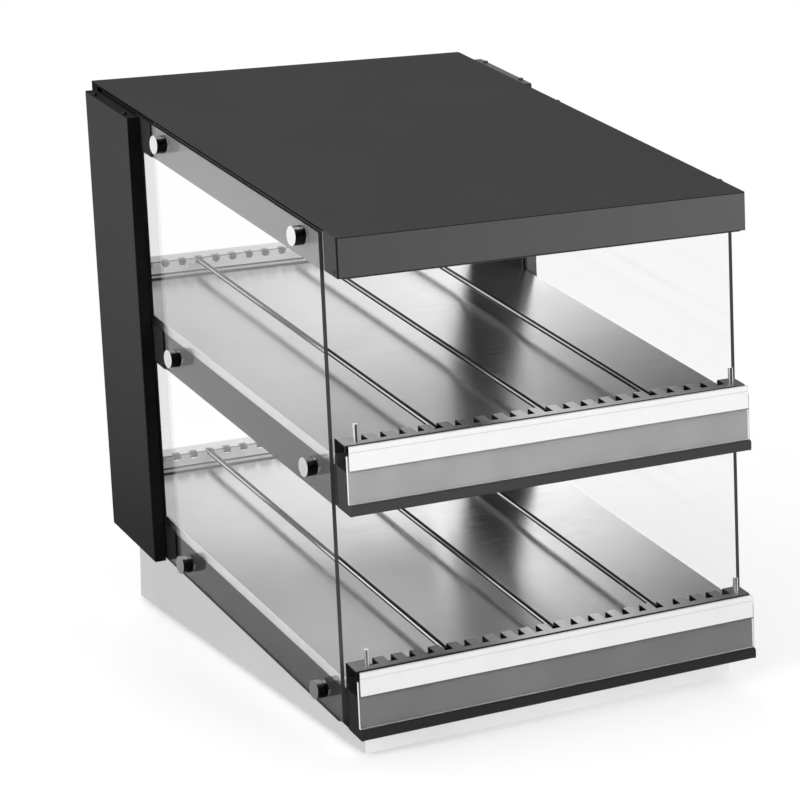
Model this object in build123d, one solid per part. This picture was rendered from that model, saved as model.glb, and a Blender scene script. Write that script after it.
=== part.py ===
from build123d import *
from math import sin, cos, radians
import os

# Counter-top heated display case: two slanted open shelves under a hood, on a wedge base.
# Millimetres. X runs left to right as the customer sees it, Y from front to back, Z up.
# A side view point is given as (s, w): s runs back along the shelf slope, w runs up along
# the columns, which lean back. The line s = 0 carries the front faces of hood and shelves.

os.makedirs("parts", exist_ok=True)

# Driving sizes: cabinet
SLOPE = radians(7.25)
LEAN = radians(5.3)
HOOD_WIDTH = 450.0
HOOD_LENGTH = 553.8
HOOD_TOP = 491.5
HOOD_FASCIA = 37.1
HOOD_LIP = 2.2
HOOD_RETURN = 25.0
HOOD_REAR_RETURN = 12.0
HOOD_REAR_DROP = 30.0
SHEET = 1.5
THIN_SHEET = 1.2

# Driving sizes: shelves
SHELF_NAMES = ("lower", "upper")
LOWER_DECK_TOP = 72.0
SHELF_PITCH = 212.5
DECK_WIDTH = 446.6
DECK_FRONT = 27.6
DECK_REAR = 552.0
DECK_EDGE = 10.2
RAIL_HEIGHT = 39.7
HOOD_RAIL_HEIGHT = 36.6
HOOD_RAIL_CORNER = 6.0
RAIL_OUTSIDE = 221.8
RAIL_GAUGE = 2.0
RAIL_FLANGE = 12.0
RAIL_FRONT = 28.6
RAIL_REAR = 528.0

# Driving sizes: combs, rods and pins
SLOT_PITCH = 20.0
SLOTS_EACH_SIDE = 10
SLOT_WIDTH = 9.0
SLOT_CORNER = 2.0
SLOT_DROP = 6.4
SLOT_FORWARD = 14.2
SLOT_BACKWARD = 7.3
COMB_HEIGHT = 15.4
COMB_FOLD = 1.5
COMB_DEPTH = 21.8
COMB_FRONT_WALL = 26.8
COMB_REAR_WALL = 531.5
COMB_FOOT = 9.0
COMB_REAR_DROP = 12.4
ROD_DIAMETER = 6.0
ROD_SEAT_GAP = 0.05
ROD_START = 18.2
ROD_END = 536.3
ROD_SLOTS = (-6, 0, 6)
PIN_DIAMETER = 5.0
PIN_HEIGHT = 17.0
PIN_X = 209.5
PIN_S = 10.2

# Driving sizes: shelf front
FASCIA_HALF_WIDTH = 224.0
FASCIA_FACE = 4.2
FASCIA_LEDGE = -9.0
FASCIA_UPSTAND = 2.0
LEDGE_BEND = 4.0
LIP_TOP = -38.2
LIP_BOTTOM = -48.8
LIP_FACE = -2.4
HOLDER_FACE = 0.6
HOLDER_GAUGE = 2.5
HOLDER_TOP = 7.0
LABEL_GAUGE = 1.4
LABEL_TOP = 16.4
LABEL_BOTTOM = -7.3
LABEL_HOOK = 5.0
LABEL_HOOK_PROUD = 0.7
LABEL_HALF_WIDTH = 222.5

# Driving sizes: glass and its caps
GLASS_INSIDE = 224.0
GLASS_GAUGE = 4.0
GLASS_FRONT = 29.0
GLASS_REAR = 432.0
GLASS_BOTTOM = 26.0
GLASS_TOP = 488.3
GLASS_CORNER = 8.0
GLASS_HOLE = 9.0
CAP_DIAMETER = 18.5
CAP_PROUD = 11.0
CAP_SHANK = 6.0
CAP_PLACES = {
    "lower": ((65.3, 46.3), (363.8, 44.8)),
    "upper": ((62.6, 261.1), (362.6, 259.9)),
    "hood": ((62.4, 476.2), (365.4, 476.2)),
}
SPACER_WIDTH = 12.0

# Driving sizes: columns
COLUMN_FRONT = 422.6
COLUMN_REAR = 530.6
COLUMN_BOTTOM = 24.1
COLUMN_TOP = 488.1
COLUMN_OUTSIDE = 242.0
COLUMN_INSIDE = 229.2
UPRIGHT_GAUGE = 1.8
UPRIGHT_FRONT = 425.0
UPRIGHT_TAB = 402.0
COLUMN_SCREW = 5.0

# Driving sizes: base and controls
FOOT_HEIGHT = 3.0
FOOT_WIDTH = 28.0
FOOT_CORNER = 5.0
FOOT_INSET = 34.0
BASE_HALF_WIDTH = 208.7
BASE_FRONT = 23.0
BASE_REAR = 537.3
CONTROL_HEIGHT = 46.0
KNOB_DIAMETER = 38.0
KNOB_DEPTH = 16.0
KNOB_GAP = 2.0
KNOB_STATIONS = (-150.0, -80.0)
SHAFT_DIAMETER = 6.0
SHAFT_GAP = 0.05
SWITCH_X = 20.0
SWITCH_WIDTH = 15.0
SWITCH_HEIGHT = 21.0
ROCKER_TILT = 8.0
ROCKER_HALF = 7.2
ROCKER_CREST = 3.6
ROCKER_PIVOT_DEPTH = 1.5
GLAND_X = 140.0

HALF_HOOD = HOOD_WIDTH / 2
HALF_DECK = DECK_WIDTH / 2
RAIL_FOOT = -(DECK_EDGE + 0.3 + RAIL_HEIGHT)
HOOD_RAIL_TOP = HOOD_TOP - SHEET - 1.0
HOOD_RAIL_FOOT = HOOD_RAIL_TOP - HOOD_RAIL_HEIGHT
DECK_TOPS = {name: LOWER_DECK_TOP + i * SHELF_PITCH for i, name in enumerate(SHELF_NAMES)}
BASE_TOP = LOWER_DECK_TOP + RAIL_FOOT - 0.3

# The origin is under the middle of the whole case, on the surface that it stands on
FRONT_MOST = LIP_FACE * cos(SLOPE) + (LOWER_DECK_TOP + LIP_BOTTOM) * sin(LEAN)
REAR_MOST = HOOD_LENGTH * cos(SLOPE) + HOOD_TOP * sin(LEAN)
SHIFT_Y = -(FRONT_MOST + REAR_MOST) / 2
UP = Vector(0, sin(LEAN), cos(LEAN))


def at(s, w):
    """Y and Z of a side view point."""
    y = SHIFT_Y + s * cos(SLOPE) + w * sin(LEAN)
    z = FOOT_HEIGHT + s * sin(SLOPE) + w * cos(LEAN)
    return y, z


def side_face(points):
    return make_face(Polyline(*[at(s, w) for s, w in points], close=True))


def prism(face, x0, x1):
    """A side view face, drawn in Y and Z, as a solid from x0 to x1."""
    low, high = min(x0, x1), max(x0, x1)
    return extrude(Plane.YZ.offset(low) * face, high - low)


def block(s0, s1, w0, w1, x0, x1):
    """A box that follows the slope and the lean."""
    return prism(side_face([(s0, w0), (s1, w0), (s1, w1), (s0, w1)]), x0, x1)


def offset_path(points, gap):
    """An open path moved to its left by gap, with mitred corners."""
    moved = []
    for i, point in enumerate(points):
        before = point - points[i - 1] if i > 0 else points[1] - point
        after = points[i + 1] - point if i < len(points) - 1 else before
        left = (Vector(-before.Y, before.X).normalized() + Vector(-after.Y, after.X).normalized())
        reach = gap / (left.normalized().dot(Vector(-after.Y, after.X).normalized()))
        moved.append(point + left.normalized() * reach)
    return moved


def folded(points, gauge, x0, x1, bend=1.0):
    """A sheet bent along a side view path, its thickness to the left of it.

    The inner radius is one for all bends or a list, where 0 leaves that fold sharp.
    """
    path = [Vector(*at(s, w)) for s, w in points]
    other = offset_path(path, gauge)
    if len(path) == 2:
        face = make_face(Polyline(path[0], path[1], other[1], other[0], close=True))
        return prism(face, x0, x1)
    bends = bend if isinstance(bend, list) else [bend] * (len(path) - 2)
    radii_path, radii_other = [], []
    for i, inner in enumerate(bends, start=1):
        turns_left = (path[i] - path[i - 1]).cross(path[i + 1] - path[i]).Z > 0
        outer = inner + gauge if inner > 0 else 0
        radii_path.append(outer if turns_left else inner)
        radii_other.append(inner if turns_left else outer)
    edge_a = FilletPolyline(*path, radius=radii_path)
    edge_b = FilletPolyline(*other, radius=radii_other)
    end_a = Line(path[-1], other[-1])
    end_b = Line(other[0], path[0])
    return prism(make_face(Curve() + [edge_a, edge_b, end_a, end_b]), x0, x1)


def across(x, s, w, section, length):
    """A section drawn in the side view, as a solid along +X that starts at x."""
    y, z = at(s, w)
    turned = Plane(origin=(x, y, z), x_dir=(0, 1, 0), z_dir=(1, 0, 0))
    return extrude(turned * section, length)


def hexagon(width):
    """A hexagon that measures width across its flats."""
    return RegularPolygon(width / 2, 6, major_radius=False)


def save(shape, name):
    export_step(shape, f"parts/{name}.step")


def save_pair(make, name):
    """The left and right piece of a mirrored pair."""
    right = make()
    save(right, f"right_{name}")
    save(mirror(right, about=Plane.YZ), f"left_{name}")


# Base
def base_housing():
    """Wedge box, open below, whose top follows the shelves and carries the lower rails."""
    def wedge(inset, top):
        front = SHIFT_Y + BASE_FRONT + inset
        rear = SHIFT_Y + BASE_REAR - inset
        floor = FOOT_HEIGHT if inset == 0 else FOOT_HEIGHT - 1
        heights = []
        for y in (front, rear):
            s = (y - SHIFT_Y - top * sin(LEAN)) / cos(SLOPE)
            heights.append(at(s, top)[1])
        outline = [(front, floor), (rear, floor), (rear, heights[1]), (front, heights[0])]
        half = BASE_HALF_WIDTH - inset
        return prism(make_face(Polyline(*outline, close=True)), -half, half)
    outer = wedge(0, BASE_TOP)
    upright_edges = [e for e in outer.edges() if abs(e.tangent_at(0.5).Z) > 0.99]
    shell = fillet(upright_edges, 1.5) - wedge(THIN_SHEET, BASE_TOP - THIN_SHEET)
    rear_y = SHIFT_Y + BASE_REAR
    for x in KNOB_STATIONS:
        shell -= rear_hole(x, SHAFT_DIAMETER / 2 + 1.0)
    shell -= rear_hole(GLAND_X, 9.0)
    opening = Box(SWITCH_WIDTH - 1.6, 4 * THIN_SHEET, SWITCH_HEIGHT - 1.6)
    return shell - Pos(SWITCH_X, rear_y, CONTROL_HEIGHT) * opening


def rear_hole(x, radius):
    """A round tool through the rear wall of the base."""
    return behind(x, -2 * THIN_SHEET, 2 * THIN_SHEET, Circle(radius))


def behind(x, start, end, section):
    """A section as a solid along +Y, from start to end behind the base's rear face."""
    y = SHIFT_Y + BASE_REAR + start
    turned = Plane(origin=(x, y, CONTROL_HEIGHT), x_dir=(1, 0, 0), z_dir=(0, 1, 0))
    return extrude(turned * section, end - start)


def base_floor_plate():
    """Floor of the base: a flat plate with its rim folded up."""
    length = BASE_REAR - BASE_FRONT - 2 * THIN_SHEET - 0.6
    width = 2 * (BASE_HALF_WIDTH - THIN_SHEET - 0.3)
    middle = SHIFT_Y + (BASE_FRONT + BASE_REAR) / 2
    rim = 12.0
    standing = (Align.CENTER, Align.CENTER, Align.MIN)
    tray = Box(width, length, rim, align=standing)
    hollow = Box(width - 2 * THIN_SHEET, length - 2 * THIN_SHEET, rim, align=standing)
    return Pos(0, middle, FOOT_HEIGHT) * (tray - Pos(0, 0, THIN_SHEET) * hollow)


def rubber_feet():
    """Four low square pads under the floor plate, their corners cut."""
    pads = []
    for x in (-BASE_HALF_WIDTH + FOOT_INSET, BASE_HALF_WIDTH - FOOT_INSET):
        for y in (SHIFT_Y + BASE_FRONT + FOOT_INSET, SHIFT_Y + BASE_REAR - FOOT_INSET):
            pad = Pos(x, y, FOOT_HEIGHT / 2) * Box(FOOT_WIDTH, FOOT_WIDTH, FOOT_HEIGHT)
            pads.append(chamfer(pad.edges().filter_by(Axis.Z), FOOT_CORNER))
    return Compound(children=pads)


save(base_housing(), "base_housing")
save(base_floor_plate(), "base_floor_plate")
save(rubber_feet(), "rubber_feet")


# Rear controls
def thermostat(x):
    """Thermostat behind the rear wall: a box on a flange, bored for the knob's shaft."""
    flange = behind(x, -THIN_SHEET - 2, -THIN_SHEET - 0.1, Rectangle(40, 24))
    body = behind(x, -THIN_SHEET - 26, -THIN_SHEET - 2, Rectangle(30, 24))
    return body + flange - behind(x, -THIN_SHEET - 16, 0, Circle(SHAFT_DIAMETER / 2 + SHAFT_GAP))


def knob(x):
    """Twelve-sided knob with a bevelled rim and a pointer ridge, on its shaft."""
    grip = behind(x, KNOB_GAP, KNOB_GAP + KNOB_DEPTH, RegularPolygon(KNOB_DIAMETER / 2, 12))
    grip = chamfer(grip.faces().sort_by(Axis.Y)[-1].edges(), 2.0)
    ridge = Pos(x, SHIFT_Y + BASE_REAR + KNOB_GAP + KNOB_DEPTH, CONTROL_HEIGHT + 6) * Box(2, 1.6, 12)
    shaft = behind(x, -THIN_SHEET - 12, KNOB_GAP + 1, Circle(SHAFT_DIAMETER / 2))
    return grip + ridge + shaft


for side, x in zip(("first", "second"), KNOB_STATIONS):
    save(thermostat(x), f"{side}_thermostat")
    save(knob(x), f"{side}_thermostat_knob")


def switch_frame():
    """Snap-in frame of the rocker switch, with its contact box behind the wall."""
    y = SHIFT_Y + BASE_REAR
    rim = Pos(SWITCH_X, y + 1.0, CONTROL_HEIGHT) * Box(SWITCH_WIDTH + 4, 1.9, SWITCH_HEIGHT + 4)
    rim = chamfer(rim.faces().sort_by(Axis.Y)[-1].edges(), 0.6)
    body = Pos(SWITCH_X, y - 9, CONTROL_HEIGHT) * Box(SWITCH_WIDTH - 2, 18.2, SWITCH_HEIGHT - 2)
    pocket = Pos(SWITCH_X, y - 3, CONTROL_HEIGHT) * Box(SWITCH_WIDTH - 4, 12, SWITCH_HEIGHT - 4)
    return rim + body - pocket


def switch_rocker():
    """Rocker at rest in its off position, tilted so that its lower half stands out."""
    outline = [
        (-3.5, -4.5), (ROCKER_CREST, -ROCKER_HALF), (ROCKER_CREST - 1.4, 0),
        (ROCKER_CREST, ROCKER_HALF), (-3.5, 4.5)]
    half_width = SWITCH_WIDTH / 2 - 2.4
    level = prism(make_face(Polyline(*outline, close=True)), -half_width, half_width)
    pivot = Pos(SWITCH_X, SHIFT_Y + BASE_REAR - ROCKER_PIVOT_DEPTH, CONTROL_HEIGHT)
    return pivot * Rot(ROCKER_TILT, 0, 0) * level


def cord_gland():
    """Cable gland in the rear wall: body, cap nut, neck and lock nut, with its bore left empty."""
    nut = behind(GLAND_X, 0.1, 5, hexagon(22))
    cap_nut = behind(GLAND_X, 5, 14, hexagon(17))
    cap_nut = chamfer(cap_nut.faces().sort_by(Axis.Y)[-1].edges(), 1.5)
    neck = behind(GLAND_X, -THIN_SHEET - 8, 0.1, hexagon(15))
    lock_nut = behind(GLAND_X, -THIN_SHEET - 5, -THIN_SHEET - 0.1, hexagon(22))
    return nut + cap_nut + neck + lock_nut - behind(GLAND_X, -20, 20, Circle(4.5))


def terminal_block():
    """Terminal strip on the floor plate, ahead of the gland."""
    length, depth, height = 60.0, 22.0, 19.6
    y = SHIFT_Y + BASE_REAR - 60
    return Pos(GLAND_X, y, FOOT_HEIGHT + THIN_SHEET + 0.2 + height / 2) * Box(length, depth, height)


save(switch_frame(), "switch_frame")
save(switch_rocker(), "switch_rocker")
save(cord_gland(), "cord_gland")
save(terminal_block(), "terminal_block")


# Side rails
def rail(top, foot, spacer_places, with_foot_flange):
    """Right-hand rail: an upright web with flanges folded inwards and two welded spacers for the glass."""
    inner = RAIL_OUTSIDE - RAIL_GAUGE - RAIL_FLANGE
    web = block(RAIL_FRONT, RAIL_REAR, foot, top, RAIL_OUTSIDE - RAIL_GAUGE, RAIL_OUTSIDE)
    flange_front = RAIL_FRONT
    if not with_foot_flange:
        front_edge = web.edges().filter_by(Axis.X).sort_by(Axis.Y)[0:2].sort_by(Axis.Z)[-1]
        web = fillet(front_edge, HOOD_RAIL_CORNER)
        flange_front += HOOD_RAIL_CORNER
    shape = web + block(flange_front, RAIL_REAR, top - RAIL_GAUGE, top, inner, RAIL_OUTSIDE)
    if with_foot_flange:
        shape += block(RAIL_FRONT, RAIL_REAR, foot, foot + RAIL_GAUGE, inner, RAIL_OUTSIDE)
    height = GLASS_INSIDE - RAIL_OUTSIDE - 0.1
    for s, w in spacer_places:
        shape += across(RAIL_OUTSIDE, s, w, hexagon(SPACER_WIDTH), height)
    return shape


RAIL_EDGES = {name: (top + RAIL_FOOT, top + RAIL_FOOT + RAIL_HEIGHT) for name, top in DECK_TOPS.items()}
RAIL_EDGES["hood"] = (HOOD_RAIL_FOOT, HOOD_RAIL_TOP)
for level, (foot, top) in RAIL_EDGES.items():
    save_pair(lambda: rail(top, foot, CAP_PLACES[level], level != "hood"), f"{level}_rail")


# Glass and caps
def glass_panel():
    """Right-hand pane: its front corners rounded, with six holes for the caps."""
    outline = side_face([
        (GLASS_FRONT, GLASS_BOTTOM), (GLASS_REAR, GLASS_BOTTOM),
        (GLASS_REAR, GLASS_TOP), (GLASS_FRONT, GLASS_TOP)])
    front_corners = outline.vertices().sort_by(Axis.Y)[0:2]
    panel = prism(fillet(front_corners, GLASS_CORNER), GLASS_INSIDE, GLASS_INSIDE + GLASS_GAUGE)
    for s, w in cap_places():
        panel -= across(GLASS_INSIDE - 1, s, w, Circle(GLASS_HOLE / 2), GLASS_GAUGE + 2)
    return panel


def cap_places():
    return [place for places in CAP_PLACES.values() for place in places]


def glass_caps():
    """Six round-headed screws that clamp the glass to the rails' spacers, on hexagonal shanks."""
    outside = GLASS_INSIDE + GLASS_GAUGE
    shank_end = GLASS_INSIDE - 0.05
    caps = []
    for s, w in cap_places():
        head = across(outside + 0.05, s, w, Circle(CAP_DIAMETER / 2), CAP_PROUD)
        caps.append(head + across(shank_end, s, w, hexagon(CAP_SHANK), outside + 0.1 - shank_end))
    return Compound(children=caps)


save_pair(glass_panel, "glass_panel")
save_pair(glass_caps, "glass_caps")


# Columns
def column_cover():
    """Folded black cover, closed at top and bottom, open towards the case."""
    outer = block(COLUMN_FRONT, COLUMN_REAR, COLUMN_BOTTOM, COLUMN_TOP, COLUMN_INSIDE, COLUMN_OUTSIDE)
    outside_edges = [e for e in outer.edges() if abs(e.center().X - COLUMN_OUTSIDE) < 0.01]
    outer = fillet(outside_edges, 1.2)
    hollow = block(
        COLUMN_FRONT + THIN_SHEET, COLUMN_REAR - THIN_SHEET,
        COLUMN_BOTTOM + THIN_SHEET, COLUMN_TOP - THIN_SHEET,
        COLUMN_INSIDE - 1, COLUMN_OUTSIDE - THIN_SHEET)
    return outer - hollow


def column_upright():
    """Steel plate beside the rails, with a tab over each rail and a flange that holds the cover."""
    inner = RAIL_OUTSIDE + 0.1
    low, high = COLUMN_BOTTOM - 3, HOOD_RAIL_TOP - 1
    plate = block(UPRIGHT_FRONT, RAIL_REAR, low, high, inner, inner + UPRIGHT_GAUGE)
    for foot, top in RAIL_EDGES.values():
        tab_low = max(foot, low)
        tab_high = min(top, high)
        plate += block(UPRIGHT_TAB, UPRIGHT_FRONT + 1, tab_low, tab_high, inner, inner + UPRIGHT_GAUGE)
    flange_rear = COLUMN_REAR - THIN_SHEET - 0.2
    flange_low = COLUMN_BOTTOM + THIN_SHEET + 1
    flange_high = COLUMN_TOP - THIN_SHEET - 1
    flange = block(
        flange_rear - UPRIGHT_GAUGE, flange_rear, flange_low, flange_high,
        inner, COLUMN_OUTSIDE - THIN_SHEET - 0.5)
    return plate + flange


def column_screws():
    """Two low hexagonal screw heads on top of each column."""
    screws = []
    for side in (-1, 1):
        for s in (COLUMN_FRONT + 16, COLUMN_REAR - 16):
            y, z = at(s, COLUMN_TOP + 0.02)
            middle = (side * (COLUMN_OUTSIDE - 4.5), y, z)
            seat = Plane(origin=middle, x_dir=(1, 0, 0), z_dir=(0, -sin(SLOPE), cos(SLOPE)))
            screws.append(extrude(seat * hexagon(COLUMN_SCREW), 2.0))
    return Compound(children=screws)


save_pair(column_cover, "column_cover")
save_pair(column_upright, "column_upright")
save(column_screws(), "column_screws")


# Hood
def hood_shell():
    """Folded sheet: deep front fascia with returns, thin side lips and a rear drop."""
    lowest = HOOD_TOP - HOOD_FASCIA
    outer = block(0, HOOD_LENGTH, lowest, HOOD_TOP, -HALF_HOOD, HALF_HOOD)
    corner_edges = [e for e in outer.edges() if abs(e.tangent_at(0.5).Z) > 0.9]
    outer = fillet(corner_edges, 2.0)
    hollow = block(
        SHEET, HOOD_LENGTH - SHEET, lowest - 1, HOOD_TOP - SHEET,
        -HALF_HOOD + SHEET, HALF_HOOD - SHEET)
    shell = outer - hollow
    for side in (-1, 1):
        inner_x, outer_x = side * (HALF_HOOD - 1.5 * SHEET), side * (HALF_HOOD + 5)
        shell -= block(
            HOOD_RETURN, HOOD_LENGTH - HOOD_REAR_RETURN, lowest - 5, HOOD_TOP - HOOD_LIP, inner_x, outer_x)
    rear_cut = block(
        HOOD_LENGTH - HOOD_REAR_RETURN - 1, HOOD_LENGTH + 5, lowest - 5, HOOD_TOP - HOOD_REAR_DROP,
        -HALF_HOOD - 5, HALF_HOOD + 5)
    return shell - rear_cut


def hood_liner():
    """Bright pan that closes the hood from below, with its rim folded up."""
    foot = HOOD_TOP - HOOD_FASCIA - 1.4
    half = RAIL_OUTSIDE - RAIL_GAUGE - 0.3
    front, rear = SHEET + 0.5, HOOD_LENGTH - SHEET - 0.5
    pan = block(front, rear, foot, foot + 25, -half, half)
    return pan - block(front + 1, rear - 1, foot + 1, foot + 30, -half + 1, half - 1)


def mat(s0, s1, w0, w1, half):
    return block(s0, s1, w0, w1, -half, half)


save(hood_shell(), "hood_shell")
save(hood_liner(), "hood_liner")
LINER_FLOOR = HOOD_TOP - HOOD_FASCIA - 0.4
save(mat(40, 510, LINER_FLOOR + 0.1, LINER_FLOOR + 1.6, 190), "hood_heating_element")
save(mat(30, 520, LINER_FLOOR + 1.8, LINER_FLOOR + 16, 200), "hood_insulation")


# Shelves
def shelf_deck(top):
    """Brushed deck with its rim folded down, narrower beside the uprights."""
    half = HALF_DECK
    outer = block(DECK_FRONT, DECK_REAR, top - DECK_EDGE, top, -half, half)
    upper_edges = outer.edges().filter_by(lambda e: abs(e.tangent_at(0.5).Y) > 0.9).sort_by(Axis.Z)[-2:]
    outer = fillet(upper_edges, 1.5)
    deck = outer - block(
        DECK_FRONT + THIN_SHEET, DECK_REAR - THIN_SHEET, top - DECK_EDGE - 1, top - THIN_SHEET,
        -half + THIN_SHEET, half - THIN_SHEET)
    for side in (-1, 1):
        deck -= block(
            UPRIGHT_FRONT - 1, DECK_REAR + 1, top - DECK_EDGE - 1, top + 1,
            side * (RAIL_OUTSIDE - 0.1), side * (half + 1))
    return deck


def shelf_pan(top):
    """Pan under the deck, with an apron folded down at the rear."""
    under = top - DECK_EDGE - 0.1
    rear = DECK_REAR - THIN_SHEET - 0.6
    front = DECK_FRONT + THIN_SHEET + 0.4
    width = HALF_DECK - 2 * THIN_SHEET - 0.4
    floor = block(front, rear, under, under + THIN_SHEET, -width, width)
    apron = RAIL_OUTSIDE - RAIL_GAUGE - RAIL_FLANGE - 1
    drop = RAIL_HEIGHT - 1.5
    return floor + block(rear - THIN_SHEET, rear, under - drop, under + 0.1, -apron, apron)


def notched(channel, top, start, end, corner):
    """Cut the row of slots through a comb's fold, from start to end along the slope."""
    for i in range(-SLOTS_EACH_SIDE, SLOTS_EACH_SIDE + 1):
        channel -= slot_tool(i * SLOT_PITCH, top, start, end, corner)
    return channel


def slot_tool(x, top, start, end, corner):
    """Cutter for one slot: corner is cut off beside the rod's seat, and 0 leaves it square."""
    low = top + COMB_HEIGHT - SLOT_DROP
    half = SLOT_WIDTH / 2
    cutter = block(start, end, low, top + COMB_HEIGHT + 3, x - half, x + half)
    if corner == 0:
        return cutter
    along = cutter.edges().filter_by(lambda e: abs(e.tangent_at(0.5).Y) > 0.9)
    return chamfer(along.sort_by(Axis.Z)[0:2], corner)


def front_comb(top):
    """Front comb: rear wall, slotted flange and short front return, open at both ends."""
    crest = top + COMB_HEIGHT
    nose = COMB_FRONT_WALL - COMB_DEPTH
    half = FASCIA_HALF_WIDTH - 0.7
    path = [
        (COMB_FRONT_WALL, top - DECK_EDGE + 1), (COMB_FRONT_WALL, crest - COMB_FOLD),
        (COMB_FRONT_WALL - COMB_FOLD, crest), (nose, crest), (nose, crest - 6)]
    channel = folded(path, SHEET, -half, half, bend=[0, 0, 1])
    return notched(channel, top, COMB_FRONT_WALL - SLOT_FORWARD, COMB_FRONT_WALL + SHEET, 0)


def comb_pins(top):
    """Two upright pins that stand near the ends of the front comb."""
    crest = top + COMB_HEIGHT + 0.02
    flange = block(0, COMB_FRONT_WALL, crest - 6, crest, -HALF_DECK, HALF_DECK)
    pins = []
    for side in (-1, 1):
        y, z = at(PIN_S, crest - 2)
        stand = Plane(origin=(side * PIN_X, y, z), x_dir=(1, 0, 0), z_dir=UP)
        pins.append(extrude(stand * Circle(PIN_DIAMETER / 2), PIN_HEIGHT + 2) - flange)
    return Compound(children=pins)


def rear_comb(top):
    """Rear comb: foot on the deck, slotted front wall and flange, rear drop."""
    crest = top + COMB_HEIGHT - SHEET
    half = RAIL_OUTSIDE - 0.9
    foot = top + 0.05
    path = [
        (COMB_REAR_WALL - COMB_FOOT - SHEET, foot), (COMB_REAR_WALL, foot),
        (COMB_REAR_WALL, crest), (DECK_REAR - SHEET, crest), (DECK_REAR - SHEET, crest - COMB_REAR_DROP)]
    channel = folded(path, SHEET, -half, half, bend=[0, 0, 1])
    wall = COMB_REAR_WALL - SHEET
    return notched(channel, top, wall - SHEET, wall + SLOT_BACKWARD, SLOT_CORNER)


def divider_rod(top, slot):
    """Straight round rod that lies in one slot of each comb."""
    low = top + COMB_HEIGHT - SLOT_DROP
    radius = ROD_DIAMETER / 2
    rise = (radius + ROD_SEAT_GAP) / cos(SLOPE + LEAN)
    y0, z0 = at(ROD_START, low + rise)
    lie = Plane(origin=(slot * SLOT_PITCH, y0, z0), x_dir=(1, 0, 0), z_dir=(0, cos(SLOPE), sin(SLOPE)))
    return extrude(lie * Circle(radius), ROD_END - ROD_START)


def fascia(top):
    """Dark box under the shelf front: one sheet folded round ledge, face and lip, with end plates."""
    ledge = top + FASCIA_LEDGE
    lip_top, lip_bottom = top + LIP_TOP, top + LIP_BOTTOM
    rear = COMB_FRONT_WALL - SHEET - 0.2
    upstand = rear - SHEET
    path = [(upstand, top + FASCIA_UPSTAND), (upstand, ledge), (FASCIA_FACE, ledge), (FASCIA_FACE, lip_top),
            (LIP_FACE, lip_top), (LIP_FACE, lip_bottom), (rear, lip_bottom)]
    sheet = folded(path, SHEET, -FASCIA_HALF_WIDTH, FASCIA_HALF_WIDTH, bend=[0, LEDGE_BEND, 0, 1, 1])
    end = side_face([
        (upstand, ledge - 0.6), (FASCIA_FACE + 0.6, ledge - 0.6), (FASCIA_FACE + 0.6, lip_top - 0.6),
        (LIP_FACE + 0.6, lip_top - 0.6), (LIP_FACE + 0.6, lip_bottom + 0.6), (upstand, lip_bottom + 0.6)])
    for side in (-1, 1):
        sheet += prism(end, side * (FASCIA_HALF_WIDTH - SHEET), side * FASCIA_HALF_WIDTH)
    return sheet


def price_holder(top):
    """Clear plate that stands on the lip, in front of the fascia."""
    return block(
        HOLDER_FACE, HOLDER_FACE + HOLDER_GAUGE, top + LIP_TOP + 0.1, top + HOLDER_TOP,
        -FASCIA_HALF_WIDTH - 0.3, FASCIA_HALF_WIDTH + 0.3)


def label_strip(top):
    """White strip on the holder, with a hook folded over at its top."""
    face = HOLDER_FACE - 0.1
    front = face - LABEL_GAUGE
    half = LABEL_HALF_WIDTH
    strip = block(front, face, top + LABEL_BOTTOM, top + LABEL_TOP, -half, half)
    hook_foot = top + LABEL_TOP - LABEL_HOOK
    return strip + block(front - LABEL_HOOK_PROUD, front + 0.2, hook_foot, top + LABEL_TOP, -half, half)


for shelf, deck_top in DECK_TOPS.items():
    save(shelf_deck(deck_top), f"{shelf}_shelf_deck")
    save(shelf_pan(deck_top), f"{shelf}_shelf_pan")
    element_top = deck_top - THIN_SHEET - 0.1
    save(mat(50, 530, element_top - 1.4, element_top, 205), f"{shelf}_heating_element")
    save(mat(34, 545, deck_top - DECK_EDGE + 1.3, element_top - 1.5, 214), f"{shelf}_insulation_mat")
    save(front_comb(deck_top), f"{shelf}_front_comb")
    save(rear_comb(deck_top), f"{shelf}_rear_comb")
    save(comb_pins(deck_top), f"{shelf}_comb_pins")
    save(fascia(deck_top), f"{shelf}_fascia")
    save(price_holder(deck_top), f"{shelf}_price_holder")
    save(label_strip(deck_top), f"{shelf}_label_strip")
    for number, slot in enumerate(ROD_SLOTS, start=1):
        save(divider_rod(deck_top, slot), f"{shelf}_divider_rod_{number}")
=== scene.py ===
from math import cos, pi, radians, sin

import bmesh
import bpy
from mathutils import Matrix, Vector


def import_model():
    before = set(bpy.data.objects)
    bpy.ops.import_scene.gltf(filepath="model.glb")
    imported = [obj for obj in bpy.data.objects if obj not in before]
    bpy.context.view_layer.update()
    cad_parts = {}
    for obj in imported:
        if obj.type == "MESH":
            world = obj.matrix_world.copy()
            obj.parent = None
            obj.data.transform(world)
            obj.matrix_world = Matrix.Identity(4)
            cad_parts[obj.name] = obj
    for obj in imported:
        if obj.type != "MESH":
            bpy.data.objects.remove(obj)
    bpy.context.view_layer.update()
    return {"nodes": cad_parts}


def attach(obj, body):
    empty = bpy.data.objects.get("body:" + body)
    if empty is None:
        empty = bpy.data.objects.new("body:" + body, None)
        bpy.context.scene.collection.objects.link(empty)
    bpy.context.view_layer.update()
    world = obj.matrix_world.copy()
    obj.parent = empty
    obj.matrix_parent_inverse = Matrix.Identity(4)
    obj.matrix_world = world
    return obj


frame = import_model()
nodes = frame["nodes"]

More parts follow.
